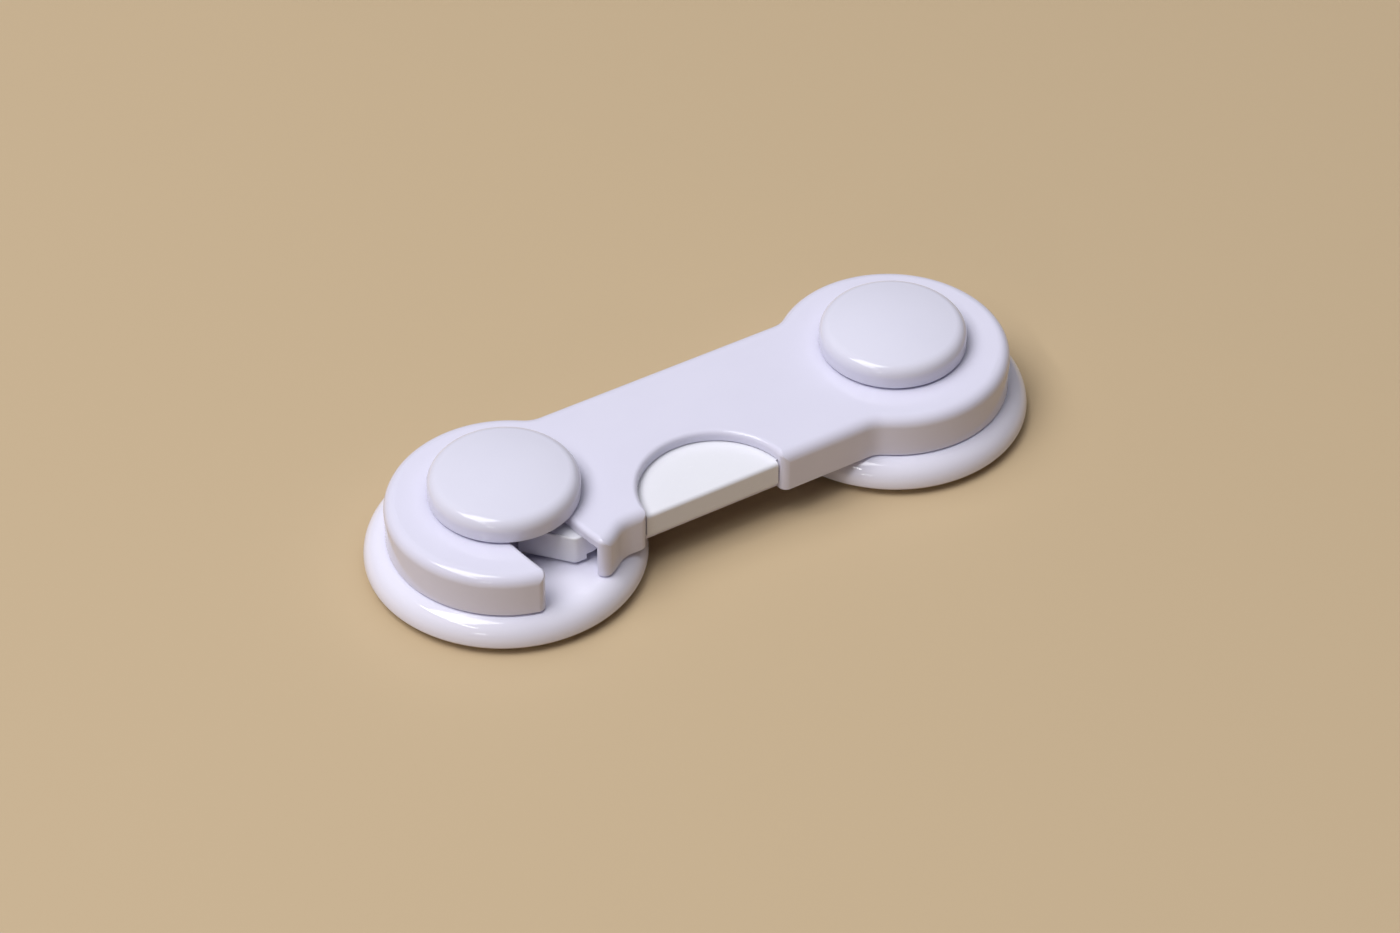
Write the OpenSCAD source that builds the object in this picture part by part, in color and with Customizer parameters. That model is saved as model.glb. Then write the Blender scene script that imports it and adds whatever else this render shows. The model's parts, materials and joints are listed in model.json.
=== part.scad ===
// Cabinet safety lock: a hollow arm turns about one adhesive post and hooks over a second one.
// A sprung bolt crosses the hook's slot. The press pad in the finger notch draws it back.
// The origin is on the pivot axis, in the plane of the adhesive faces. +X runs from the catch
// post to the pivot post, +Z leaves the door, and the slot and the notch open towards -Y.

/* [Arm] */
// Distance between the axes of the two posts
span = 64; // [62:0.5:80]
// Radius of the arm's round heads
head_r = 17.1; // [16.8:0.1:18.4]
// Half the width of the neck
neck_half = 13; // [12.8:0.1:14]
// Height of the arm
arm_h = 6.6; // [6.4:0.1:8]
// Radius of the rounded top edge
edge_r = 1.7; // [0.8:0.1:2.2]
// Radius of the inner corners between the heads and the neck
blend_r = 4; // [3:0.5:6]
// Thickness of the side walls
wall = 1.5; // [1.2:0.1:1.8]
// Thickness of the top skin
skin = 1.6; // [1.2:0.1:1.8]
// Outer radius of the hub round the pivot post
hub_r = 6; // [5.5:0.1:8]
// Thickness of the stiffening ribs round the hub
rib_t = 1; // [0.8:0.1:1.6]

/* [Slot] */
// Width of the slot that takes the catch post
slot_w = 9; // [8.8:0.1:9.4]
// Radius of the slot's top edges
slot_edge_r = 0.8; // [0.3:0.1:1]
// Radius of the upright corners at the slot's mouth and at the notch's ends
corner_r = 1.3; // [1:0.05:1.4]
// How far the closed catch post stands past the middle of the arm's head, away from the slot's mouth
seat_in = 0.65; // [0.3:0.05:1]
// How much wider the round seat at the slot's closed end is than the slot, on each side
seat_ease = 0.15; // [0.1:0.05:0.3]
// Thickness of the wall round the slot
slot_wall = 1.4; // [1:0.1:1.5]

/* [Finger notch] */
// Distance from the catch post's axis to the middle of the notch
notch_at = 26.2; // [25.8:0.1:28]
// Radius of the half-round notch, as a share of half the neck's width
notch_share = 0.85; // [0.78:0.01:0.88]
// Radius of the notch's top edge
notch_edge_r = 0.75; // [0.4:0.05:1]

/* [Cover plate] */
// Thickness of the plate that closes the arm's underside
plate_t = 1; // [0.8:0.1:1.2]
// Radius of the plate's screw heads
cover_head_r = 1.75; // [1.5:0.05:2]
// Outer radius of the plate's screws over the thread
cover_shank_r = 0.95; // [0.9:0.05:1.1]
// Length of the plate's screws
cover_screw_len = 4.2; // [3.6:0.1:4.4]
// Wall of the bosses that the plate's screws cut into
boss_wall = 1.1; // [0.9:0.1:1.2]

/* [Press button] */
// Travel of the button
press_stroke = 5; // [4:0.1:5.2]
// Depth of the pad's face behind the neck's side
pad_inset = 0.9; // [0.6:0.1:1.2]
// Thickness of the pad's face, front to back
pad_face_t = 2.6; // [2:0.1:2.8]
// Radius of the pad's top front edge
pad_edge_r = 0.6; // [0.3:0.1:0.9]
// How far the shoulders that hold the button in reach past the notch on each side
shoulder = 1.5; // [1:0.1:1.8]
// How far the button's plate reaches past the notch's deepest point
cover_lap = 1; // [0.6:0.1:1.4]
// Radius of the peg that draws the bolt
peg_r = 1.2; // [1:0.05:1.4]
// Distance of the peg from the middle of the notch, towards the catch post
peg_back = 2.2; // [1.6:0.1:2.6]

/* [Latch bolt] */
// Distance that the nose's tip reaches past the catch post's axis
nose_past = 1.15; // [0.6:0.05:1.3]
// Width of the nose along the slot
nose_w = 6.5; // [5.8:0.1:6.7]
// Gap between the nose and the closed catch post
nose_gap = 1.15; // [0.95:0.05:1.3]
// Radius of the nose's upright edges
nose_r = 0.4; // [0.2:0.05:0.5]
// Material left round the bolt's slot
web = 1.75; // [1.4:0.05:2]

/* [Latch spring] */
// Length of the fitted spring
spring_len = 16; // [14:0.5:18]
// Mean radius of the coils
coil_r = 1.3; // [1.2:0.05:1.35]
// Diameter of the spring's wire
wire_d = 0.45; // [0.35:0.05:0.5]
// Number of coils
coils = 12; // [8:1:12]

/* [Bases] */
// Radius of the two round bases
base_r = 20; // [19:0.1:22]
// Thickness of a base
base_h = 4.1; // [3.8:0.1:5]
// Radius of a base's rounded top edge
base_edge_r = 3.4; // [2:0.1:3.6]
// Thickness of the bases' top wall over the hollow underside
base_skin = 1.9; // [1.7:0.1:2.2]
// Radius of the foam pads
foam_r = 18.5; // [17.5:0.1:18.9]
// Thickness of the foam pads
foam_h = 1; // [0.6:0.1:1.5]
// Radius of the two posts
post_r = 4.1; // [3.9:0.05:4.2]

/* [Caps] */
// Radius of the caps
cap_r = 10.7; // [9.5:0.1:12]
// Height of a cap from its lower rim to the foot of its dome
cap_h = 3.5; // [3:0.1:4.5]
// Radius of a cap's rounded edge
cap_edge_r = 1.9; // [0.8:0.1:2.2]
// Rise of the dome above the cap's edge
dome = 0.8; // [0.3:0.05:1.2]
// Radius of the stem that goes down into the post
stem_r = 2.6; // [2.4:0.05:2.65]

/* [Cap screws] */
// Radius of the screw heads
screw_head_r = 2.75; // [2.4:0.05:2.9]
// Height of the screw heads
screw_head_h = 1.9; // [1.6:0.1:2]
// Outer radius of the screws over the thread
screw_r = 1.5; // [1.4:0.05:1.6]
// Length of the screws under the head
screw_len = 7.8; // [6:0.1:8]

/* [Hidden] */
$fn = 96;

// Clearances and overruns
overrun = 1;             // what a cutter reaches past a surface
run_gap = 0.05;          // radial gap of the arm's hub on the pivot post
rest_gap = 0.05;         // the arm above the bases' raised lands
lift_gap = 0.1;          // height gap between parts that slide over each other
slide_gap = 0.2;         // sideways gap of parts that slide
fit_gap = 0.1;           // gap round the cover plate
stem_gap = 0.05;         // the caps' stems in the posts
draw_gap = 0.5;          // between the drawn nose and the path of the catch post
drive_w = 0.8;           // width of the cap screws' cross recess
drive_depth = 0.9;       // depth of that recess
cover_drive_w = 0.5;     // the same for the plate's screws
cover_drive_depth = 0.5;
corner_ease = 0.01;      // how much wider an upright corner's rounding is than one tangent to its walls
thread_bite = 0.2;       // what a thread cuts into its hole's wall
tip_room = 0.4;          // room past a screw's tip

// Heights of the stack, from the adhesive faces up
show_gap = 0.3;          // open line under the arm
cap_gap = 0.45;          // open line under the caps' rims
base_top = foam_h + base_h;
arm_z = base_top + show_gap;
land_z = arm_z - rest_gap;
post_top = arm_z + arm_h + lift_gap;
cap_z = arm_z + arm_h + cap_gap;

// The posts
land_r = hub_r - fit_gap;
bore_r = post_r + run_gap;
slot_r = slot_w / 2;
seat_r = slot_r + seat_ease;
seat_turn = asin(seat_in / span);
catch_at = span * [-cos(seat_turn), sin(seat_turn), 0];

// Centres of the arm's four inner corners, measured from the nearer head's axis
blend_y = neck_half + blend_r;
blend_x = sqrt(pow(head_r + blend_r, 2) - pow(blend_y, 2));

// Centres of the rounded upright corners, from the pivot axis: the hook's tip, the prong across
// the slot from it, and the notch's two ends. Each has the directions of the two walls it joins.
function turned(rho) = acos((pow(span, 2) + pow(rho, 2) - pow(head_r - corner_r, 2)) / (2 * span * rho));
function mouth_centre(rho) = -rho * [cos(turned(rho)), sin(turned(rho))];
function mouth_corner(centre, side) = [centre, (centre + [span, 0]) / norm(centre + [span, 0]),
                                       side * centre / norm(centre)];
notch_reach = sqrt(pow(notch_share * neck_half + corner_r, 2) - pow(corner_r, 2));
function notch_corner(side) = let (centre = [-span + notch_at + side * notch_reach, -neck_half + corner_r])
    [centre, [0, -1], [-side * notch_reach, -corner_r] / (notch_share * neck_half + corner_r)];
corners = [mouth_corner(mouth_centre(span + slot_r + corner_r), -1),
           mouth_corner(mouth_centre(span - slot_r - corner_r), 1), notch_corner(-1), notch_corner(1)];

// Layers inside the arm, above its lower edge
inside_h = arm_h - skin - plate_t;
low_z = plate_t + lift_gap;
low_top = plate_t + inside_h / 2 - lift_gap;
high_z = plate_t + inside_h / 2 + lift_gap;
high_top = arm_h - skin - 2 * lift_gap;

// The button, measured from the catch post's axis
notch_r = notch_share * neck_half;
notch_deep = notch_r - neck_half;
pad_half = sqrt(pow(notch_r, 2) - pow(wall, 2)) - slide_gap;
pad_front = -neck_half + pad_inset;
pad_back = pad_front + pad_face_t;
shoulder_half = notch_r + shoulder;
shoulder_front = -neck_half + wall + slide_gap;
plate_back = notch_deep + cover_lap;
peg = [notch_at - peg_back, plate_back + peg_r / 2];
tab_half = peg_r + slide_gap + web / 2;

// The bolt, measured from the catch post's axis
nose_in = post_r + nose_gap - seat_in;
nose_out = nose_in + nose_w;
nose_corner = nose_w - nose_past;
nose_back = seat_r + slot_wall + slide_gap;
bolt_stroke = post_r + nose_past + draw_gap + run_gap;
link_end = notch_at - pad_half - bolt_stroke - slide_gap;
track_r = peg_r + lift_gap;
tail_low = pad_back + press_stroke + slide_gap;
tail_high = peg[1] + press_stroke + track_r + web;
tail_start = nose_back;
tail_end = peg[0] + track_r + web;
seat_t = web;
seat_low = tail_high - 2 * coil_r - web / 2;
window_x = slot_r + 2 * slot_wall;
guide_x = window_x + overrun + slide_gap;

// The spring
spring_y = (tail_high + seat_low) / 2;
spring_z = (low_z + high_top) / 2;
stop_x = tail_end + spring_len;
stub_r = coil_r - wire_d / 2 - slide_gap;
stub_len = spring_len / 6;

// The cover plate's screws: hook, two in the neck and one beyond the hub, as places along the arm
boss_r = cover_shank_r + boss_wall;
hook_boss = (seat_r + slot_wall + head_r - wall) / 2;
far_boss = (hub_r + head_r - wall) / 2;
neck_boss_y = neck_half - wall - boss_r / 2;
near_boss_y = tail_high + slide_gap + boss_r;
near_boss_x = sqrt(pow(head_r - wall - boss_r / 2, 2) - pow(near_boss_y, 2));
far_neck_x = notch_at + shoulder_half + 2 * boss_r;
boss_sites = [[-span - hook_boss, 0], [-span + near_boss_x, near_boss_y],
              [-span + far_neck_x, -neck_boss_y], [far_boss, 0]];

// Shares used where a size follows another one
rib_turn_shares = [1 / 6, 1 / 3, 2 / 3, 5 / 6];
low_edge_share = 0.9;    // rounding of a base's lower edge, of what its side leaves below the top edge's
cored_ribs = 8;
dome_r = (pow(cap_r - cap_edge_r, 2) + pow(dome, 2)) / (2 * dome);

shell_white = [0.88, 0.87, 0.95];
pad_white = [0.93, 0.93, 0.96];
foam_white = [0.95, 0.95, 0.93];
steel = [0.72, 0.73, 0.75];

// Profiles

// Half section of the arm out to the given half width, with a rounded top edge
module edge_profile(half, top_r) {
    square([half, arm_h - top_r]);
    square([half - top_r, arm_h]);
    translate([half - top_r, arm_h - top_r]) intersection() {
        circle(top_r);
        square(top_r);
    }
}

// Section of a round cutter whose rim flares at the top, so that the edge it leaves is rounded
module flare_profile(r, top_r) {
    difference() {
        union() {
            translate([0, -overrun]) square([r, arm_h + 2 * overrun]);
            translate([0, arm_h - top_r]) square([r + top_r, top_r + overrun]);
        }
        translate([r + top_r, arm_h - top_r]) circle(top_r);
    }
}

// The same cutter as a straight or curved channel, with both sides flared about its middle
module channel_profile(half, top_r) {
    flare_profile(half, top_r);
    mirror([1, 0]) flare_profile(half, top_r);
}

// The arm's outline in plan, drawn in by the given inset
module outline(inset) {
    for (x = [0, -span]) translate([x, 0]) circle(head_r - inset);
    translate([-span, -neck_half + inset]) square([span, 2 * (neck_half - inset)]);
    for (end = [0, 1], side = [0, 1])
        translate([-span * end, 0]) mirror([1 - end, 0]) mirror([0, side]) difference() {
            polygon([[0, 0], [blend_x, 0], [blend_x, blend_y]]);
            translate([blend_x, blend_y]) circle(blend_r + inset);
        }
}

// A ring sector about the pivot axis that follows the catch post's path into the slot.
// It starts inside the seat, where its corners are still clear of the seat's wall.
module slot_sweep(half) {
    start = asin(sqrt(pow(seat_r, 2) - pow(slot_r, 2)) / (2 * span)) - seat_turn;
    turn = asin((head_r + overrun) / (span - half)) + asin(overrun / span);
    rotate([0, 0, 180 + start]) rotate_extrude(angle = turn - start) translate([span, 0]) children();
}

// Arm shell

module arm_body() {
    for (x = [0, -span]) translate([x, 0, 0]) rotate_extrude() edge_profile(head_r, edge_r);
    translate([-span, 0, 0]) rotate([90, 0, 90]) linear_extrude(span) {
        edge_profile(neck_half, edge_r);
        mirror([1, 0]) edge_profile(neck_half, edge_r);
    }
    for (end = [0, 1], side = [0, 1])
        translate([-span * end, 0, 0]) mirror([1 - end, 0, 0]) mirror([0, side, 0]) difference() {
            linear_extrude(arm_h) polygon([[0, 0], [blend_x, 0], [blend_x, blend_y]]);
            translate([blend_x, blend_y, 0]) rotate_extrude() flare_profile(blend_r, edge_r);
        }
}

module slot_cut() {
    translate(catch_at) rotate_extrude() flare_profile(seat_r, slot_edge_r + seat_ease);
    slot_sweep(slot_r) channel_profile(slot_r, slot_edge_r);
}

// What lies outside an upright corner's rounding, between the walls that it joins
module corner_cut(corner) {
    reach = 2 * corner_r + overrun;
    translate([corner[0][0], corner[0][1], 0]) difference() {
        translate([0, 0, -overrun]) linear_extrude(arm_h + 2 * overrun)
            polygon([[0, 0], reach * corner[1], reach * (corner[1] + corner[2]), reach * corner[2]]);
        rotate_extrude() {
            edge_profile(corner_r + corner_ease, slot_edge_r);
            translate([0, -2 * overrun]) square([corner_r + corner_ease, 2 * overrun]);
        }
    }
}

module slot_rim() {
    intersection() {
        linear_extrude(arm_h - skin / 2) outline(wall / 2);
        union() {
            translate(catch_at) cylinder(r = seat_r + slot_wall, h = arm_h);
            slot_sweep(slot_r + slot_wall) translate([-slot_r - slot_wall, 0])
                square([2 * (slot_r + slot_wall), arm_h]);
        }
    }
}

module inner_walls() {
    full_h = arm_h - skin / 2;
    rail_z = plate_t;
    slot_rim();
    cylinder(r = hub_r, h = full_h);
    // Ribs from the hub to the wall
    intersection() {
        translate([0, 0, rail_z]) linear_extrude(full_h - rail_z) outline(wall / 2);
        for (turn = rib_turn_shares) rotate([0, 0, 360 * turn])
            translate([0, -rib_t / 2, 0]) cube([head_r, rib_t, arm_h]);
    }
    // Bosses for the cover plate's screws
    for (site = boss_sites) translate([site[0], site[1], rail_z]) cylinder(r = boss_r, h = full_h - rail_z);
    // Guides of the button, the bolt's rail and the spring's stop
    translate([-span, 0, 0]) {
        translate([notch_at - shoulder_half - slide_gap - rib_t, tail_low + rib_t, high_z - lift_gap / 2])
            cube([rib_t, plate_back + press_stroke - tail_low - rib_t, full_h - high_z]);
        translate([notch_at + shoulder_half + slide_gap, -neck_half + wall / 2, rail_z])
            cube([rib_t, neck_half - wall / 2 + plate_back + press_stroke, full_h - rail_z]);
        translate([near_boss_x + boss_r, tail_high + slide_gap, rail_z])
            cube([tail_end + bolt_stroke - near_boss_x - boss_r, rib_t, full_h - rail_z]);
        intersection() {
            translate([span, 0, rail_z]) linear_extrude(full_h - rail_z) outline(wall / 2);
            translate([guide_x, -head_r, rail_z])
                cube([notch_at - shoulder_half - slide_gap - guide_x, head_r - nose_out - slide_gap, full_h]);
        }
        translate([stop_x, seat_low, rail_z]) cube([rib_t, tail_high - seat_low, full_h - rail_z]);
        translate([stop_x, spring_y, spring_z]) rotate([0, -90, 0]) cylinder(r = stub_r, h = stub_len);
    }
}

module arm_shell() color(shell_white) translate([0, 0, arm_z]) difference() {
    union() {
        difference() {
            arm_body();
            translate([0, 0, -overrun]) linear_extrude(arm_h - skin + overrun) outline(wall);
        }
        inner_walls();
    }
    slot_cut();
    translate([-span + notch_at, -neck_half, 0]) rotate_extrude() flare_profile(notch_r, notch_edge_r);
    for (corner = corners) corner_cut(corner);
    // Bore of the hub on the pivot post
    translate([0, 0, -overrun]) cylinder(r = bore_r, h = arm_h + 2 * overrun);
    // Window for the bolt's nose, as far as the side wall whose end is the prong
    intersection() {
        translate([0, 0, -overrun]) linear_extrude(arm_h - skin + overrun) outline(wall + fit_gap);
        translate([-span + slot_r - overrun, -head_r, -overrun])
            cube([window_x - slot_r + 2 * overrun, head_r - nose_in + slide_gap, arm_h]);
    }
    // Screw holes
    for (site = boss_sites) translate([site[0], site[1], plate_t])
        cylinder(r = cover_shank_r - thread_bite / 2, h = cover_screw_len - plate_t + tip_room / 2);
}

// Cover plate

module arm_cover() color(shell_white) translate([0, 0, arm_z]) difference() {
    linear_extrude(plate_t) difference() {
        outline(wall + fit_gap);
        circle(hub_r + fit_gap);
        translate(catch_at) circle(seat_r + slot_wall + fit_gap);
        // Cut-out in which the nose draws back
        translate([-span, -head_r]) square([nose_back + bolt_stroke + slide_gap, head_r - nose_in + slide_gap]);
    }
    translate([0, 0, -overrun]) slot_sweep(slot_r + slot_wall) translate([-slot_r - slot_wall - fit_gap, 0])
        square([2 * (slot_r + slot_wall + fit_gap), plate_t + 2 * overrun]);
    for (site = boss_sites) translate([site[0], site[1], 0]) {
        cylinder(r1 = cover_head_r + fit_gap, r2 = cover_shank_r + fit_gap, h = plate_t);
        translate([0, 0, -overrun]) cylinder(r = cover_shank_r + fit_gap, h = plate_t + 2 * overrun);
    }
}

module cover_screws() color(steel) for (site = boss_sites)
    translate([site[0], site[1], arm_z + rest_gap]) difference() {
        union() {
            cylinder(r1 = cover_head_r, r2 = cover_shank_r, h = plate_t);
            cylinder(r = cover_shank_r, h = cover_screw_len - rest_gap);
        }
        for (turn = [0, 90]) rotate([0, 0, turn])
            translate([-cover_shank_r, -cover_drive_w / 2, -overrun])
                cube([2 * cover_shank_r, cover_drive_w, cover_drive_depth + overrun]);
    }

// Press button

module press_button() color(pad_white) translate([-span, 0, arm_z]) {
    // Pad face with its rounded top edge
    translate([notch_at - pad_half, 0, 0]) rotate([90, 0, 90]) linear_extrude(2 * pad_half) {
        translate([pad_front + pad_edge_r, low_z]) square([pad_face_t - pad_edge_r, high_top - low_z]);
        translate([pad_front, low_z]) square([pad_face_t, high_top - pad_edge_r - low_z]);
        translate([pad_front + pad_edge_r, high_top - pad_edge_r]) circle(pad_edge_r);
    }
    // Plate under the arm's skin, with the shoulders that hold the button in
    translate([notch_at - shoulder_half, shoulder_front, high_z])
        cube([2 * shoulder_half, plate_back - shoulder_front, high_top - high_z]);
    // Tab and the peg that runs in the bolt's slot
    translate([peg[0] - tab_half, plate_back - tab_half, high_z])
        cube([2 * tab_half, peg[1] + tab_half - plate_back + tab_half, high_top - high_z]);
    translate([peg[0], peg[1], low_z + lift_gap]) cylinder(r = peg_r, h = high_top - low_z - lift_gap);
}

// Latch bolt

// Nose in plan: a tapered tip whose slope the catch post pushes aside, with rounded upright edges
module nose_plan() {
    steep = nose_r / tan(45 / 2);
    slight = nose_r * tan(45 / 2);
    slope = sqrt(1 / 2);
    polygon([[nose_back, -nose_in], [-nose_past + steep, -nose_in],
             [-nose_past + steep * slope, -nose_in - steep * slope],
             [nose_corner - slight * slope, -nose_out + slight * slope],
             [nose_corner + slight, -nose_out], [nose_back, -nose_out]]);
    translate([-nose_past + steep, -nose_in - nose_r]) circle(nose_r);
    translate([nose_corner + slight, -nose_out + nose_r]) circle(nose_r);
}

module latch_bolt() color(pad_white) translate([-span, 0, arm_z]) {
    drawn = [-bolt_stroke, press_stroke];
    translate([0, 0, 2 * lift_gap]) linear_extrude(high_top - 2 * lift_gap) nose_plan();
    translate([0, 0, low_z]) linear_extrude(low_top - low_z) difference() {
        union() {
            translate([tail_start, tail_low]) square([tail_end - tail_start, tail_high - tail_low]);
            translate([nose_corner, -nose_out]) square([link_end - nose_corner, nose_w]);
            translate([tail_start, -nose_out]) square([link_end - tail_start, nose_out + tail_low + web]);
        }
        // Slanted slot, one press long, that turns the button's travel into the bolt's
        translate(peg) circle(track_r);
        translate(peg + drawn) circle(track_r);
        translate(peg) rotate(atan2(drawn[1], drawn[0])) translate([0, -track_r])
            square([norm(drawn), 2 * track_r]);
    }
    // Seat and stub of the spring
    translate([tail_end - seat_t, seat_low, low_z]) cube([seat_t, tail_high - seat_low, high_top - low_z]);
    translate([tail_end - seat_t / 2, spring_y, spring_z]) rotate([0, 90, 0])
        cylinder(r = stub_r, h = stub_len + seat_t / 2);
}

// Latch spring: one tube along a helix, whose ends run straight to the seat and the stop
coil_rings = 8;
wire_sides = 6;
spring_start = tail_end + rest_gap;
helix_len = spring_len - rest_gap - 2 * wire_d;
wire_path = concat(
    [[spring_start, coil_r, 0]],
    [for (i = [0 : coils * coil_rings])
        [spring_start + wire_d + helix_len * i / (coils * coil_rings),
         coil_r * cos(360 * i / coil_rings), coil_r * sin(360 * i / coil_rings)]],
    [[spring_start + 2 * wire_d + helix_len, coil_r, 0]]);

function unit(v) = v / norm(v);
function heading(p, i) = i == 0 || i == len(p) - 1 ? [1, 0, 0]
    : unit(unit(p[i] - p[i - 1]) + unit(p[i + 1] - p[i]));
function wire_ring(p, i) = let (t = heading(p, i), out = unit([0, p[i][1], p[i][2]]),
    n = unit(out - (out * t) * t), b = cross(t, n))
    [for (s = [0 : wire_sides - 1])
        p[i] + wire_d / 2 * (cos(360 * s / wire_sides) * n + sin(360 * s / wire_sides) * b)];
// Least gap of the wire to itself: the distance between points at least half a coil apart, less its diameter
wire_gap = min([for (i = [0 : len(wire_path) - 1], j = [i + coil_rings / 2 : 1 : len(wire_path) - 1])
    norm(wire_path[i] - wire_path[j])]) - wire_d;
echo(spring_least_gap = wire_gap);

module latch_spring() color(steel) translate([-span, spring_y, arm_z + spring_z]) {
    rings = len(wire_path);
    points = [for (i = [0 : rings - 1]) each wire_ring(wire_path, i)];
    sides = [for (i = [0 : rings - 2], s = [0 : wire_sides - 1]) let (
        a = i * wire_sides + s, b = i * wire_sides + (s + 1) % wire_sides)
        each [[a, b + wire_sides, b], [a, a + wire_sides, b + wire_sides]]];
    ends = [[for (s = [0 : wire_sides - 1]) s],
            [for (s = [wire_sides - 1 : -1 : 0]) (rings - 1) * wire_sides + s]];
    polyhedron(points, concat(sides, ends));
}

// Bases

module base() {
    floor_z = foam_h + base_h - base_skin;
    low_edge_r = low_edge_share * (base_h - base_edge_r);
    difference() {
        union() {
            translate([0, 0, foam_h]) rotate_extrude() {
                translate([0, low_edge_r]) square([base_r, base_h - base_edge_r - low_edge_r]);
                square([base_r - low_edge_r, base_h - base_edge_r]);
                square([base_r - base_edge_r, base_h]);
                translate([base_r - low_edge_r, low_edge_r]) circle(low_edge_r);
                translate([base_r - base_edge_r, base_h - base_edge_r]) intersection() {
                    circle(base_edge_r);
                    square(base_edge_r);
                }
            }
            cylinder(r = land_r, h = land_z);
            cylinder(r = post_r, h = post_top);
        }
        translate([0, 0, -overrun]) cylinder(r = base_r, h = foam_h + overrun);
        // Hollow underside, stiffened by spokes
        translate([0, 0, foam_h - overrun]) difference() {
            cylinder(r = base_r - base_skin - slide_gap * base_edge_r, h = base_h - base_skin + overrun);
            cylinder(r = screw_head_r + fit_gap + base_skin + base_skin / 2, h = base_h);
            for (i = [0 : cored_ribs - 1]) rotate([0, 0, 360 * i / cored_ribs])
                translate([0, -rib_t / 2, 0]) cube([base_r, rib_t, base_h]);
        }
        // Screw head's pocket, through hole and the stem's hole
        translate([0, 0, foam_h - overrun]) cylinder(r = screw_head_r + slide_gap, h = floor_z - foam_h + overrun);
        cylinder(r = screw_r + fit_gap, h = post_top);
        translate([0, 0, base_top + slide_gap]) cylinder(r = stem_r + stem_gap, h = post_top);
    }
}

module pivot_base() color(shell_white) base();
module catch_base() color(shell_white) translate(catch_at) base();

// Caps

module cap() {
    x = cap_r - cap_edge_r;
    dome_z = cap_h + dome - dome_r;
    z = dome_z + sqrt(pow(dome_r - cap_edge_r, 2) - pow(x, 2));
    touch = [0, dome_z] + dome_r * [x, z - dome_z] / norm([x, z - dome_z]);
    stem_low = base_top + 2 * slide_gap - cap_z;
    difference() {
        union() {
            rotate_extrude() {
                square([cap_r, z]);
                translate([x, z]) intersection() {
                    circle(cap_edge_r);
                    square(cap_edge_r);
                }
                intersection() {
                    translate([0, dome_z]) circle(dome_r);
                    polygon([[0, 0], [x, 0], [x, z], touch, [touch[0], cap_h + dome + overrun],
                             [0, cap_h + dome + overrun]]);
                }
            }
            // Seat on the post and stem down into it
            translate([0, 0, post_top - cap_z]) cylinder(r = land_r, h = cap_h / 2);
            translate([0, 0, stem_low]) cylinder(r = stem_r, h = cap_h / 2 - stem_low);
        }
        // Cored ring under the rim
        translate([0, 0, -overrun]) difference() {
            cylinder(r = cap_r - cap_edge_r, h = cap_h / 2 + overrun);
            cylinder(r = land_r, h = cap_h);
        }
        // Hole that the screw cuts into
        translate([0, 0, stem_low - overrun])
            cylinder(r = screw_r - thread_bite, h = foam_h + base_h - base_skin + screw_len + tip_room - cap_z
                     - stem_low + overrun);
    }
}

module pivot_cap() color(shell_white) translate([0, 0, cap_z]) cap();
module catch_cap() color(shell_white) translate(catch_at + [0, 0, cap_z]) cap();

// Screws from below through the bases into the caps

module cap_screw() {
    seat_z = foam_h + base_h - base_skin;
    difference() {
        union() {
            translate([0, 0, seat_z - screw_head_h]) cylinder(r = screw_head_r, h = screw_head_h);
            translate([0, 0, seat_z - screw_head_h]) cylinder(r = screw_r, h = screw_head_h + screw_len);
        }
        for (turn = [0, 90]) rotate([0, 0, turn])
            translate([-screw_r, -drive_w / 2, seat_z - screw_head_h - overrun])
                cube([2 * screw_r, drive_w, drive_depth + overrun]);
    }
}

module pivot_screw() color(steel) cap_screw();
module catch_screw() color(steel) translate(catch_at) cap_screw();

// Foam adhesive pads

module pivot_pad() color(foam_white) cylinder(r = foam_r, h = foam_h);
module catch_pad() color(foam_white) translate(catch_at) cylinder(r = foam_r, h = foam_h);

arm_shell();
arm_cover();
cover_screws();
press_button();
latch_bolt();
latch_spring();
pivot_base();
catch_base();
pivot_cap();
catch_cap();
pivot_screw();
catch_screw();
pivot_pad();
catch_pad();
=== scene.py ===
import bpy, bmesh, json, math
from mathutils import Vector, Matrix, noise

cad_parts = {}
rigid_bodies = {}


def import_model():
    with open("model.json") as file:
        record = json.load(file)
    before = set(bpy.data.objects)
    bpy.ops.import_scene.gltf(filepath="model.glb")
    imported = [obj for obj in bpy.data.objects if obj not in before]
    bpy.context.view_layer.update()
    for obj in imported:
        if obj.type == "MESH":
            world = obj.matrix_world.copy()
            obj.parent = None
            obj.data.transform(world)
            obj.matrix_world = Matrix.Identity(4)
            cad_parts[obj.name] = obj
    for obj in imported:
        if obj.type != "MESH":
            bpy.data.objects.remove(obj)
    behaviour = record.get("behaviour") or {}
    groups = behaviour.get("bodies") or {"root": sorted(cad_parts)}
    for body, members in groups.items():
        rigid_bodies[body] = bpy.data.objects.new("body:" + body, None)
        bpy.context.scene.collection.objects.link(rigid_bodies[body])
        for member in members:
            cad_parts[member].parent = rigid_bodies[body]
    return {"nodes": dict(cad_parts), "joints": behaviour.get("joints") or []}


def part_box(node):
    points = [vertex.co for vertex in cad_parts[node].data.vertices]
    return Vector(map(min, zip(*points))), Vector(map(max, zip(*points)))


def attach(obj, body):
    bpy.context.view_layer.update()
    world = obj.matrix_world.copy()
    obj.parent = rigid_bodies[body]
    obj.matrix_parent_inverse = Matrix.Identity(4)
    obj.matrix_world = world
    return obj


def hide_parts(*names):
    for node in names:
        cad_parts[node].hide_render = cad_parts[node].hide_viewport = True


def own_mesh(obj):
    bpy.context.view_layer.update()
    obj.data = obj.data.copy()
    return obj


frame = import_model()
for spare in [o for o in bpy.data.objects if o.name in ("Cube", "Light", "Camera")]:    # Blender's own start file
    bpy.data.objects.remove(spare)
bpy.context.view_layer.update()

mm = 0.001
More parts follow.
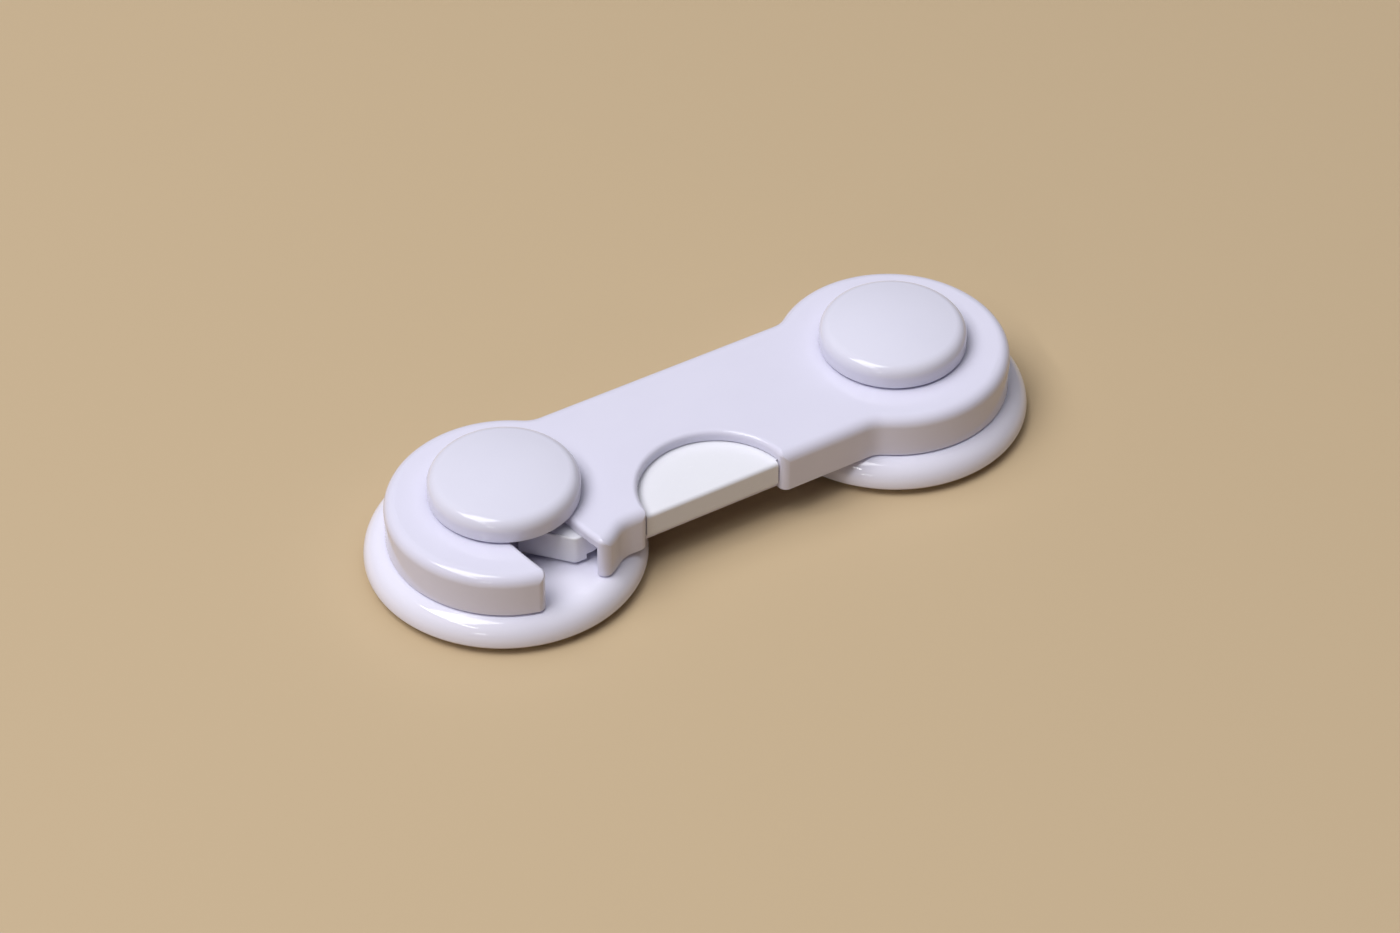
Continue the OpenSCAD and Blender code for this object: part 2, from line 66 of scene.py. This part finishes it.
pivotAt = (0, 0)              # the two posts' axes, in millimetres
catchAt = (-63.9967, 0.65)


# Shader maths: a wire is one socket's value, and Python's operators add the Math nodes
class Wire:
    def __init__(self, tree, socket):
        self.tree, self.socket = tree, socket

    def maths(self, operation, *values):
        node = self.tree.nodes.new("ShaderNodeMath")
        node.operation = operation
        for slot, value in zip(node.inputs, values):
            plug(self.tree, slot, value)
        return Wire(self.tree, node.outputs[0])

    def __add__(self, other): return self.maths("ADD", self, other)
    def __radd__(self, other): return self.maths("ADD", other, self)
    def __sub__(self, other): return self.maths("SUBTRACT", self, other)
    def __rsub__(self, other): return self.maths("SUBTRACT", other, self)
    def __mul__(self, other): return self.maths("MULTIPLY", self, other)
    def __rmul__(self, other): return self.maths("MULTIPLY", other, self)

    def above(self, edge, soft):    # 0 below the edge, 1 above it, with a soft step between
        step = self.tree.nodes.new("ShaderNodeMapRange")
        step.interpolation_type = "SMOOTHSTEP"
        for name, value in (("Value", self), ("From Min", edge - soft), ("From Max", edge + soft)):
            plug(self.tree, step.inputs[name], value)
        return Wire(self.tree, step.outputs["Result"])


# Puts a wire, a colour or a number into a socket
def plug(tree, slot, value):
    if isinstance(value, Wire):
        tree.links.new(value.socket, slot)
    elif isinstance(value, (tuple, list)) and len(value) == 3 and slot.type == "RGBA":
        slot.default_value = (*value, 1)
    else:
        slot.default_value = value


class Finish:
    def __init__(self, name, **constants):
        self.material = bpy.data.materials.new(name)
        self.material.use_nodes = True
        self.tree = self.material.node_tree
        self.shader = self.tree.nodes["Principled BSDF"]
        self.feed(**constants)
        self.place = self.node("ShaderNodeTexCoord", output="Object")

    # Sockets are named with _ for a space, or by number as i0, i1 and so on
    def node(self, kind, settings=None, output=0, **sockets):
        made = self.tree.nodes.new(kind)
        for name, value in (settings or {}).items():
            setattr(made, name, value)
        for name, value in sockets.items():
            key = int(name[1:]) if name[1:].isdigit() else name.replace("_", " ")
            plug(self.tree, made.inputs[key], value)
        return Wire(self.tree, made.outputs[output])

    def noise(self, scale, detail=2, rough=0.5, place=None, seed=0.0):    # scale in features per metre
        return self.node("ShaderNodeTexNoise", {"noise_dimensions": "4D"}, output="Fac",
                         Vector=place or self.place, W=seed, Scale=scale, Detail=detail, Roughness=rough)

    def stretched(self, turn, *scale):    # scaled along each axis, then turned about Z
        return self.node("ShaderNodeMapping", Vector=self.place, Rotation=(0, 0, turn), Scale=scale)

    def blend(self, share, first, second):
        return self.node("ShaderNodeMix", {"data_type": "RGBA"}, output=2, i0=share, i6=first, i7=second)

    def bumps(self, *layers):    # layers are (height in metres, wire), the finest last
        normal = None
        for depth, height in layers:
            sockets = {"Height": height, "Distance": depth, "Strength": 1.0}
            if normal:
                sockets["Normal"] = normal
            normal = self.node("ShaderNodeBump", **sockets)
        return normal

    def feed(self, **values):
        for socket, value in values.items():
            plug(self.tree, self.shader.inputs[socket.replace("_", " ")], value)
        return self.material


# Glossy moulded plastic, white with a lavender cast; the bases use the same plastic painted lighter, as painted light
# for the fuller light that falls on them
armLook = {"colour": (0.745, 0.73, 0.885), "flow": (0.725, 0.71, 0.865), "gloss": 0.035, "scuffs": 0.07}
capLook = {"colour": (0.74, 0.73, 0.87), "flow": (0.72, 0.71, 0.85), "gloss": 0.035, "scuffs": 0.06}
# The bases' colours are the arm's plastic raised in tone: painted light, not a lighter moulding
litBaseLook = {"colour": (0.84, 0.825, 0.97), "flow": (0.815, 0.80, 0.95), "gloss": 0.035, "scuffs": 0.07}

# Marks that the glossy mouldings share: features per metre, depths in metres, and how much each one tells.
# An edge is the noise value above which a mark shows, so a higher one leaves fewer marks
mouldMarks = {"flow": 70, "flowShare": 0.7, "flowGloss": 0.03,
              "sink": 160, "sinkDepth": 0.00002,
              "polish": 2600, "polishDepth": 0.0000008,
              "hair": 7, "fineEdge": 0.64, "coarseEdge": 0.66, "hairSoft": 0.04, "hairDepth": -0.0000003,
              "dust": 3200, "dustEdge": 0.76, "dustColour": (0.55, 0.52, 0.50), "dustShare": 0.10, "dustGloss": 0.15}


def mouldedPlastic(name, look, seed):
    f = Finish(name, IOR=1.5, Specular_IOR_Level=0.5)
    m = mouldMarks
    flow = f.noise(m["flow"], 3, 0.55, seed=seed)              # faint flow clouds of the moulding
    sink = f.noise(m["sink"], 1, 0.4, seed=seed + 3)           # shallow sinks that bend the reflections
    polish = f.noise(m["polish"], 2, 0.5, seed=seed + 5)       # the tool's polish
    # Hairline scuffs along the arm, finer and coarser
    fine = f.noise(m["hair"], 4, 0.75, place=f.stretched(0.5, 40, 1100, 400), seed=seed + 7)
    coarse = f.noise(m["hair"], 4, 0.75, place=f.stretched(-0.8, 40, 900, 400), seed=seed + 9)
    wear = fine.above(m["fineEdge"], m["hairSoft"]) * 0.6 + coarse.above(m["coarseEdge"], m["hairSoft"]) * 0.4
    dust = f.noise(m["dust"], 1, 0.4, seed=seed + 11).above(m["dustEdge"], 0.03)
    clouds = f.blend(flow.above(0.5, 0.2) * m["flowShare"], look["colour"], look["flow"])
    colour = f.blend(dust * m["dustShare"], clouds, m["dustColour"])
    gloss = look["gloss"] + look["scuffs"] * wear + (flow - 0.5) * m["flowGloss"] + dust * m["dustGloss"]
    marks = f.bumps((m["sinkDepth"], sink), (m["polishDepth"], polish), (m["hairDepth"], wear))
    return f.feed(Base_Color=colour, Roughness=gloss, Normal=marks)


# Whiter plastic of the button and the bolt, with a satin tool finish and rub marks along the bolt's travel
latchLook = {"colour": (0.82, 0.82, 0.895), "flow": (0.795, 0.79, 0.87), "gloss": 0.22,
             "clouds": 80, "cloudShare": 0.6, "cloudGloss": 0.06, "grain": 5200, "grainDepth": 0.0000015,
             "rub": 9, "rubEdge": 0.62, "rubDepth": -0.0000006, "rubGloss": 0.08}


def latchPlastic():
    look = latchLook
    f = Finish("latchPlastic", IOR=1.48, Specular_IOR_Level=0.5)
    flow = f.noise(look["clouds"], 3, 0.5, seed=11.0)
    grain = f.noise(look["grain"], 2, 0.6, seed=12.0)
    rub = f.noise(look["rub"], 4, 0.7, place=f.stretched(1.57, 60, 1000, 500), seed=13.0).above(look["rubEdge"], 0.05)
    colour = f.blend(flow.above(0.5, 0.25) * look["cloudShare"], look["colour"], look["flow"])
    gloss = look["gloss"] + (flow - 0.5) * look["cloudGloss"] + rub * look["rubGloss"]
    return f.feed(Base_Color=colour, Roughness=gloss,
                  Normal=f.bumps((look["grainDepth"], grain), (look["rubDepth"], rub)))


# Closed-cell adhesive foam, open at its cut edge and skinned by the adhesive on its faces
foamLook = {"colour": (0.83, 0.82, 0.78), "cell": (0.60, 0.59, 0.55), "cells": 3200, "cellShare": 0.6,
            "cellDepth": 0.00005, "spread": 900, "spreadDepth": 0.00002, "film": 0.35, "core": 0.45,
            "coreLow": 0.00009, "coreHigh": 0.00091, "coreSoft": 0.00003}


def foamSkin():
    look = foamLook
    f = Finish("foamSkin", IOR=1.4, Specular_IOR_Level=0.3)
    cells = f.node("ShaderNodeTexVoronoi", {"feature": "DISTANCE_TO_EDGE"}, output="Distance", Vector=f.place,
                   Scale=look["cells"])
    spread = f.noise(look["spread"], 3, 0.6, seed=31.0)
    wall = 1 - cells.above(0.12, 0.1)
    height = f.node("ShaderNodeSeparateXYZ", output="Z", Vector=f.place)
    core = height.above(look["coreLow"], look["coreSoft"]) * (1 - height.above(look["coreHigh"], look["coreSoft"]))
    colour = f.blend(wall * core * look["cellShare"], look["colour"], look["cell"])
    return f.feed(Base_Color=colour, Roughness=look["film"] + (look["core"] + 0.1 * spread) * core,
                  Normal=f.bumps((look["spreadDepth"], spread), (look["cellDepth"], cells * core)))


# Zinc-plated steel of the screws, and bright drawn wire for the spring; lines stretches the grain along one axis
steelLook = {"colour": (0.62, 0.63, 0.64), "dull": (0.44, 0.45, 0.47), "gloss": 0.26, "lines": (800, 800, 9000)}
wireLook = {"colour": (0.58, 0.58, 0.60), "dull": (0.40, 0.39, 0.38), "gloss": 0.18, "lines": (9000, 700, 700)}
steelMarks = {"cloud": 700, "cloudGloss": 0.18, "cloudDepth": 0.000003, "line": 9, "lineGloss": 0.1,
              "lineDepth": 0.000001}


def steel(name, look, seed):
    f = Finish(name, IOR=2.5, Metallic=1.0)
    m = steelMarks
    cloud = f.noise(m["cloud"], 4, 0.6, seed=seed)
    line = f.noise(m["line"], 3, 0.6, place=f.stretched(0, *look["lines"]), seed=seed + 2)
    colour = f.blend(cloud.above(0.5, 0.25), look["colour"], look["dull"])
    return f.feed(Base_Color=colour, Roughness=look["gloss"] + m["cloudGloss"] * cloud + m["lineGloss"] * line,
                  Normal=f.bumps((m["cloudDepth"], cloud), (m["lineDepth"], line)))


# The bases' finish is the lighter copy with painted light in its colours
finishes = {"arm": mouldedPlastic("armPlastic", armLook, 2.0), "cap": mouldedPlastic("capPlastic", capLook, 22.0),
            "base": mouldedPlastic("basePlasticLit", litBaseLook, 42.0), "latch": latchPlastic(), "foam": foamSkin(),
            "steel": steel("zincSteel", steelLook, 61.0), "wire": steel("springWire", wireLook, 71.0)}
print("finishes:", len(finishes))

# CAD nodes that stay, and the finish of each
nodeFinish = {"arm_shell": "arm", "arm_cover": "arm", "pivot_cap": "cap", "catch_cap": "cap",
              "pivot_base": "base", "catch_base": "base", "press_button": "latch"}
for name, finish in nodeFinish.items():
    frame["nodes"][name].data.materials.clear()
    frame["nodes"][name].data.materials.append(finishes[finish])

mergeWithin = 0.0005    # vertices of one piece this close are one vertex, in millimetres


# Puts a finished mesh, in millimetres, into the scene as one piece of the lock
def makePiece(name, mesh, finish, body, standsFor, crease=32):
    bmesh.ops.remove_doubles(mesh, verts=mesh.verts, dist=mergeWithin)
    bmesh.ops.recalc_face_normals(mesh, faces=mesh.faces)
    bmesh.ops.scale(mesh, verts=mesh.verts, vec=(mm, mm, mm))
    data = bpy.data.meshes.new(name)
    mesh.to_mesh(data)
    mesh.free()
    data.shade_smooth()
    data.set_sharp_from_angle(angle=math.radians(crease))
    data.materials.append(finishes[finish])
    piece = bpy.data.objects.new(name, data)
    bpy.context.scene.collection.objects.link(piece)
    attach(piece, body)
    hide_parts(standsFor)
    print("piece", name, len(data.polygons), "faces")
    return piece


# Adds one part's mesh to a piece's mesh
def joinInto(mesh, part):
    data = bpy.data.meshes.new("part")
    part.to_mesh(data)
    part.free()
    mesh.from_mesh(data)
    bpy.data.meshes.remove(data)


# Spins a half section of (radius, height) points about the upright axis
def lathe(mesh, section, steps):
    line = [mesh.verts.new((r, 0, z)) for r, z in section]
    edges = [mesh.edges.new(pair) for pair in zip(line, line[1:])]
    bmesh.ops.spin(mesh, geom=line + edges, cent=(0, 0, 0), axis=(0, 0, 1), dvec=(0, 0, 0),
                   angle=2 * math.pi, steps=steps, use_merge=True, use_duplicate=False)
    bmesh.ops.remove_doubles(mesh, verts=mesh.verts, dist=mergeWithin)


# Foam adhesive pads: two skins of film and a die-cut core that stands back a little between them
padShape = {"radius": 18.5, "height": 1.0, "film": 0.07, "corner": 0.03, "waist": 0.16, "lip": 0.6,
            "lipRise": 0.07, "coreRings": 6, "edgeFrom": 0.95, "wave": 0.05, "waves": 3, "nicks": 22, "nicksUp": 4,
            "steps": 160}


def foamPad(name, at, node):
    s = padShape
    r, h, film, corner = s["radius"] - s["wave"], s["height"], s["film"], s["corner"]
    lip, rise, rings = r - s["waist"] * s["lip"], s["lipRise"], s["coreRings"]
    under = [(r * share, 0) for share in (0, 0.3, 0.6, 0.85)]
    under += [(r - corner, 0), (r, corner), (r, film), (lip, film + rise)]
    core = [(r - s["waist"] * (0.75 + 0.25 * math.sin(math.pi * k / rings)), h * (0.2 + 0.6 * k / rings))
            for k in range(rings + 1)]
    over = [(lip, h - film - rise), (r, h - film), (r, h - corner), (r - corner, h)]
    over += [(r * share, h) for share in (0.85, 0.5, 0)]
    mesh = bmesh.new()
    lathe(mesh, under + core + over, s["steps"])
    for v in mesh.verts:    # the die's cut and the pressed core are never quite true
        if math.hypot(v.co.x, v.co.y) > r * s["edgeFrom"]:
            turn = math.atan2(v.co.y, v.co.x)
            way = Vector((math.cos(turn), math.sin(turn), 0))
            cut = noise.noise(way * s["waves"] + Vector((0, 0, at[0])))
            nick = noise.noise(way * s["nicks"] + Vector((0, 0, s["nicksUp"] * v.co.z)))
            v.co += way * s["wave"] * (cut + nick * math.sin(math.pi * v.co.z / h))
    bmesh.ops.translate(mesh, verts=mesh.verts, vec=(*at, 0))
    pad = makePiece(name, mesh, "foam", "bases", node, crease=50)


foamPad("pivotFoam", pivotAt, "pivot_pad")
foamPad("catchFoam", catchAt, "catch_pad")

# Latch spring: wire wound on the X axis, with closed turns at both ends
springShape = {"wire": 0.45, "radius": 1.3, "turns": 12, "closedTurns": 1.25, "closedPitch": 0.47,
               "around": 12, "perTurn": 28}


def latchSpring():
    s = springShape
    low, high = (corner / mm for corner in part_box("latch_spring"))
    axis = Vector((low.x, (low.y + high.y) / 2, (low.z + high.z) / 2))
    run = high.x - low.x - s["wire"]
    openTurns = s["turns"] - 2 * s["closedTurns"]
    openPitch = (run - 2 * s["closedTurns"] * s["closedPitch"]) / openTurns
    closed = (s["closedTurns"], s["closedPitch"])
    mesh = bmesh.new()
    ring = bmesh.ops.create_circle(mesh, segments=s["around"], radius=s["wire"] / 2, cap_ends=True)["verts"]
    bmesh.ops.translate(mesh, verts=ring, vec=axis + Vector((s["wire"] / 2, s["radius"], 0)))
    tip = list({e for v in ring for e in v.link_edges}) + ring
    for turns, pitch in (closed, (openTurns, openPitch), closed):
        steps = round(turns * s["perTurn"])
        made = bmesh.ops.spin(mesh, geom=tip, cent=axis, axis=(1, 0, 0), dvec=(turns * pitch / steps, 0, 0),
                              angle=2 * math.pi * turns, steps=steps, use_merge=False, use_duplicate=False)
        tip = [g for g in made["geom_last"] if not isinstance(g, bmesh.types.BMFace)]
    bmesh.ops.contextual_create(mesh, geom=[g for g in tip if isinstance(g, bmesh.types.BMEdge)])
    spring = makePiece("coilSpring", mesh, "wire", "arm", "latch_spring", crease=60)
    stroke = next(j["range_m"][1] for j in frame["joints"] if j["name"] == "bolt_draw")
    1 - stroke / ((high.x - low.x) * mm)
    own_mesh(spring)


latchSpring()

# Screws, drive side down: a head with a tapered cross recess, a core and a rolled thread
capScrew = {"head": 2.75, "headHeight": 1.9, "edge": 0.25, "core": 1.12, "thread": 1.5, "pitch": 0.95,
            "length": 7.8, "bottom": 1.3, "flat": 1.62, "recess": 0.9, "slotHalf": 0.4, "slotReach": 1.35}
coverScrew = {"head": 1.72, "headHeight": 0.98, "edge": 0.1, "core": 0.7, "thread": 0.95, "pitch": 0.62,
              "length": 3.1, "bottom": 5.46, "flat": 1.08, "recess": 0.5, "slotHalf": 0.24, "slotReach": 0.85}
coverScrewSites = [(-74.825, 0), (-53.35, 9.95), (-21.15, -10.475), (10.8, 0)]
screwForm = {"around": 48, "taper": 0.6}    # steps round a screw, and how the cross narrows on its way in
threadForm = {"start": 0.55, "flank": 0.32, "crestHalf": 0.05, "sunk": 0.96, "runOut": 1.3, "perTurn": 24}


def crossRecess(part, s):    # the flat face is filled round a cross, which is then drawn in and closed
    b, reach = s["slotHalf"], s["slotReach"]
    arms = [(reach, -b), (reach, b), (b, b), (b, reach), (-b, reach), (-b, b), (-reach, b), (-reach, -b),
            (-b, -b), (-b, -reach), (b, -reach), (b, -b)]
    cross = [part.verts.new((x, y, 0)) for x, y in arms]
    crossEdges = [part.edges.new((cross[k], cross[(k + 1) % len(cross)])) for k in range(len(cross))]
    rim = [g for g in part.edges if g.is_boundary]
    bmesh.ops.triangle_fill(part, use_beauty=True, use_dissolve=False, edges=rim + crossEdges)
    inner = [f for f in part.faces if all(v in cross for v in f.verts)]
    bmesh.ops.delete(part, geom=inner, context="FACES_ONLY")
    drawn = bmesh.ops.extrude_edge_only(part, edges=[e for e in crossEdges if e.is_valid])["geom"]
    deep = [g for g in drawn if isinstance(g, bmesh.types.BMVert)]
    bmesh.ops.scale(part, verts=deep, vec=(screwForm["taper"], screwForm["taper"], 1))
    bmesh.ops.translate(part, verts=deep, vec=(0, 0, s["recess"]))
    bmesh.ops.contextual_create(part, geom=[g for g in drawn if isinstance(g, bmesh.types.BMEdge)
                                            and all(v in deep for v in g.verts)])


def rolledThread(part, s):    # one flank section turned along the core
    t = threadForm
    start, flank = s["headHeight"] + t["start"], s["pitch"] * t["flank"]
    turns = (s["length"] - t["runOut"] * s["core"] - t["start"]) / s["pitch"]
    inside, crest = s["core"] * t["sunk"], s["thread"]
    section = [(inside, -flank), (crest, -t["crestHalf"]), (crest, t["crestHalf"]), (inside, flank)]
    wedge = [part.verts.new((r, 0, start + z)) for r, z in section]
    face = part.faces.new(wedge)
    steps = round(turns * t["perTurn"])
    bmesh.ops.spin(part, geom=[face] + list(face.edges) + wedge, cent=(0, 0, 0), axis=(0, 0, 1),
                   dvec=(0, 0, turns * s["pitch"] / steps), angle=2 * math.pi * turns, steps=steps,
                   use_merge=False, use_duplicate=False)


def screwInto(mesh, s, at, countersunk):
    part = bmesh.new()
    h, e, core = s["headHeight"], s["edge"], s["core"]
    tip = h + s["length"]
    head = [(s["flat"], 0), (s["head"] - e, 0.0), (s["head"] - 0.3 * e, 0.3 * e), (s["head"], e)]
    seat = [(s["thread"], h)] if countersunk else [(s["head"], h - 0.6 * e), (s["head"] - 0.6 * e, h)]
    fillet = [(core * 1.15, h + 0.02), (core, h + 0.2)]
    point = [(core, tip - 0.7 * core), (core * 0.6, tip - 0.15), (core * 0.35, tip), (0, tip)]
    lathe(part, head + seat + fillet + point, screwForm["around"])
    crossRecess(part, s)
    rolledThread(part, s)
    bmesh.ops.translate(part, verts=part.verts, vec=(*at, s["bottom"]))
    joinInto(mesh, part)


for name, at, node in (("pivotCapScrew", pivotAt, "pivot_screw"), ("catchCapScrew", catchAt, "catch_screw")):
    screw = bmesh.new()
    screwInto(screw, capScrew, at, countersunk=False)
    makePiece(name, screw, "steel", "bases", node)
fourScrews = bmesh.new()
for at in coverScrewSites:
    screwInto(fourScrews, coverScrew, at, countersunk=True)
makePiece("plateScrews", fourScrews, "steel", "arm", "cover_screws")

# Latch bolt, in millimetres from the catch end of the arm: the nose, a heel that rides over the cover plate
# when it is drawn, the thin link with its slanted slot, the spring's seat and the stub in the spring
boltShape = {"at": (-64, 0, 5.4),
             "noseTip": -1.15, "noseCorner": 4.65, "noseBack": 6.38, "noseIn": -4.6, "noseOut": -10.95,
             "noseLow": 0.2, "noseHigh": 4.8, "noseUpright": 0.4, "noseSoft": 0.3,
             "heelStart": 5.6, "heelEnd": 7.65, "heelInset": 0.03,
             "linkLow": 1.1, "linkHigh": 2.9, "linkStart": 6.25, "webStart": 7.0, "webEnd": 9.45, "webInset": 0.2,
             "tailLow": -4.3, "tailHigh": 7.7, "tailEnd": 27.05,
             "slotFrom": (24.0, -0.35), "slotTo": (18.2, 4.65), "slotHalf": 1.3, "slotSteps": 12,
             "seat": 1.75, "seatFrom": 4.225, "seatUp": 0.5, "seatUpright": 0.2,
             "stub": 0.875, "stubEnd": 29.7, "stubRoot": 0.5, "stubEdge": 0.3, "stubAround": 32, "soft": 0.18}


def rounded(part, edges, radius):
    bmesh.ops.bevel(part, geom=edges, offset=radius, offset_type="OFFSET", affect="EDGES", segments=4,
                    profile=0.5, material=-1)


def rise(edge):    # how far an edge climbs: 0 along a rim, the slab's height on an upright
    return abs(edge.verts[0].co.z - edge.verts[1].co.z)


# A slab between two heights; the first outline is the outer one, and a second is cut out of it. Its rims are
# rounded, and so are its uprights left of roundTo, in X, where upright gives them a radius
def slabInto(mesh, outlines, low, high, soft, upright=0, roundTo=math.inf):
    part = bmesh.new()
    edges = []
    for points in outlines:
        ring = [part.verts.new((x, y, low)) for x, y in points]
        edges += [part.edges.new((ring[k], ring[(k + 1) % len(ring)])) for k in range(len(ring))]
    if len(outlines) > 1:
        bmesh.ops.triangle_fill(part, use_beauty=True, use_dissolve=False, edges=edges)
    else:
        bmesh.ops.contextual_create(part, geom=edges)
    raised = bmesh.ops.extrude_face_region(part, geom=list(part.faces), use_keep_orig=True)["geom"]
    tops = [g for g in raised if isinstance(g, bmesh.types.BMVert)]
    bmesh.ops.translate(part, verts=tops, vec=(0, 0, high - low))
    bmesh.ops.recalc_face_normals(part, faces=part.faces)
    if upright:
        rounded(part, [e for e in part.edges if rise(e) > 0.1 and e.calc_face_angle(0) > 0.6
                       and e.verts[0].co.x < roundTo], upright)
    rounded(part, [e for e in part.edges if rise(e) < 1e-6 and e.calc_face_angle(0) > 1.2], soft)
    joinInto(mesh, part)


def latchBolt():
    s = boltShape
    mesh = bmesh.new()
    nose = [(s["noseBack"], s["noseIn"]), (s["noseTip"], s["noseIn"]), (s["noseCorner"], s["noseOut"]),
            (s["noseBack"], s["noseOut"])]
    backStays = s["noseBack"] - 0.1    # the nose's back stays square, against the heel
    slabInto(mesh, [nose], s["noseLow"], s["noseHigh"], s["noseSoft"], s["noseUpright"], backStays)
    i = s["heelInset"]
    heel = [(s["heelStart"], s["noseIn"] - i), (s["heelEnd"], s["noseIn"] - i),
            (s["heelEnd"], s["noseOut"] + i), (s["heelStart"], s["noseOut"] + i)]
    slabInto(mesh, [heel], s["linkLow"] + i, s["noseHigh"] - i, s["soft"])
    a, b, steps = Vector(s["slotFrom"]), Vector(s["slotTo"]), s["slotSteps"]
    along = math.atan2((b - a).y, (b - a).x)
    turns = [(end, start + k * math.pi / steps) for end, start in ((b, along - math.pi / 2), (a, along + math.pi / 2))
             for k in range(steps + 1)]    # half a turn round each end of the slanted slot
    slot = [tuple(end + s["slotHalf"] * Vector((math.cos(turn), math.sin(turn)))) for end, turn in turns]
    webOut = s["noseOut"] + s["webInset"]
    link = [(s["linkStart"], s["tailHigh"]), (s["linkStart"], s["noseIn"]), (s["webStart"], s["noseIn"]),
            (s["webStart"], webOut), (s["webEnd"], webOut), (s["webEnd"], s["tailLow"]),
            (s["tailEnd"], s["tailLow"]), (s["tailEnd"], s["tailHigh"])]
    slabInto(mesh, [link, slot], s["linkLow"], s["linkHigh"], s["soft"])
    seat = [(s["tailEnd"] - s["seat"], s["seatFrom"]), (s["tailEnd"], s["seatFrom"]),
            (s["tailEnd"], s["tailHigh"]), (s["tailEnd"] - s["seat"], s["tailHigh"])]
    slabInto(mesh, [seat], s["linkLow"] + s["seatUp"], s["noseHigh"], s["soft"], s["seatUpright"])
    stub = bmesh.new()
    r, edge = s["stub"], s["stubEdge"]
    long = s["stubEnd"] - s["tailEnd"] + s["stubRoot"]
    lathe(stub, [(0, 0), (r, 0), (r, long - edge), (r - edge, long), (0, long)], s["stubAround"])
    bmesh.ops.rotate(stub, verts=stub.verts, cent=(0, 0, 0), matrix=Matrix.Rotation(math.pi / 2, 3, "Y"))
    bmesh.ops.translate(stub, verts=stub.verts, vec=(s["tailEnd"] - s["stubRoot"],
                                                     (s["seatFrom"] + s["tailHigh"]) / 2,
                                                     (s["linkLow"] + s["noseHigh"]) / 2))
    joinInto(mesh, stub)
    bmesh.ops.translate(mesh, verts=mesh.verts, vec=s["at"])
    makePiece("latchBolt", mesh, "latch", "bolt", "latch_bolt", crease=21)


latchBolt()

# Plain pale floor, a hair below the pads
floorLook = {"size": 6.0, "drop": 0.00005, "colour": (0.55, 0.42, 0.27), "rough": 0.6, "shine": 0.3}


def paleFloor():
    mesh = bmesh.new()
    bmesh.ops.create_grid(mesh, x_segments=1, y_segments=1, size=floorLook["size"] / 2)
    bmesh.ops.translate(mesh, verts=mesh.verts, vec=(0, 0, -floorLook["drop"]))
    data = bpy.data.meshes.new("floor")
    mesh.to_mesh(data)
    mesh.free()
    floor = bpy.data.objects.new("floor", data)
    bpy.context.scene.collection.objects.link(floor)
    paint = Finish("floorPaint", Base_Color=floorLook["colour"], Roughness=floorLook["rough"],
                   Specular_IOR_Level=floorLook["shine"])
    data.materials.append(paint.material)
    print("floor laid")


paleFloor()

# Soft studio light: azimuth, height and roll in degrees, distance, width and depth in metres, and power.
# The two fills light the lock but aren't mirrored in it
lamps = {
    "overhead": {"azimuth": 90, "height": 86, "away": 1.6, "size": (2.0, 2.0), "roll": 0, "watts": 15.0,
                 "mirrored": False},
    "window": {"azimuth": 180, "height": 65, "away": 2.0, "size": (1.0, 1.0), "roll": 0, "watts": 19.5,
               "mirrored": True},
    "rear": {"azimuth": 135, "height": 55, "away": 1.6, "size": (0.8, 0.8), "roll": 0, "watts": 3.6,
             "mirrored": False},
    "strip": {"azimuth": -173, "height": 48, "away": 1.6, "size": (1.3, 0.10), "roll": -13, "watts": 4.3,
              "mirrored": True},
    "lowStrip": {"azimuth": -139, "height": 18, "away": 1.6, "size": (0.25, 0.06), "roll": 0, "watts": 0.6,
                 "mirrored": True},
}
room = {"colour": (1.0, 1.0, 1.0), "strength": 0.005}
aimAt = Vector((-0.032, 0, 0.006))    # the middle of the lock


def studioLights():
    for name, lamp in lamps.items():
        light = bpy.data.lights.new(name, "AREA")
        light.shape, (light.size, light.size_y) = "RECTANGLE", lamp["size"]
        light.energy = lamp["watts"]
        stand = bpy.data.objects.new(name, light)
        bpy.context.scene.collection.objects.link(stand)
        stand.visible_glossy = lamp["mirrored"]
        turn, lift = math.radians(lamp["azimuth"]), math.radians(lamp["height"])
        way = Vector((math.cos(turn) * math.cos(lift), math.sin(turn) * math.cos(lift), math.sin(lift)))
        stand.location = aimAt + lamp["away"] * way
        facing = (aimAt - stand.location).to_track_quat("-Z", "Y").to_matrix()
        stand.rotation_euler = (facing @ Matrix.Rotation(math.radians(lamp["roll"]), 3, "Z")).to_euler()
    world = bpy.data.worlds[0] if bpy.data.worlds else bpy.data.worlds.new("room")
    bpy.context.scene.world = world
    world.use_nodes = True
    air = world.node_tree.nodes["Background"]
    air.inputs["Color"].default_value = (*room["colour"], 1)
    air.inputs["Strength"].default_value = room["strength"]
    print("lamps:", len(lamps))


studioLights()

# Camera at the photograph's viewing angle: place in metres, turn in degrees, lens in millimetres
cameraFit = {"at": (-0.25775, -0.365985, 0.381904), "turn": (48.5968, -0.1928, -31.4331), "lens": 103.047,
             "sensor": 36, "near": 0.01, "far": 20}


def photoCamera():
    data = bpy.data.cameras.new("camera")
    data.lens, data.sensor_width, data.sensor_fit = cameraFit["lens"], cameraFit["sensor"], "HORIZONTAL"
    data.clip_start, data.clip_end = cameraFit["near"], cameraFit["far"]
    camera = bpy.data.objects.new("camera", data)
    bpy.context.scene.collection.objects.link(camera)
    camera.location = cameraFit["at"]
    camera.rotation_euler = [math.radians(a) for a in cameraFit["turn"]]
    bpy.context.scene.camera = camera
    print("camera set")


photoCamera()
bpy.context.scene.view_settings.view_transform = "Standard"
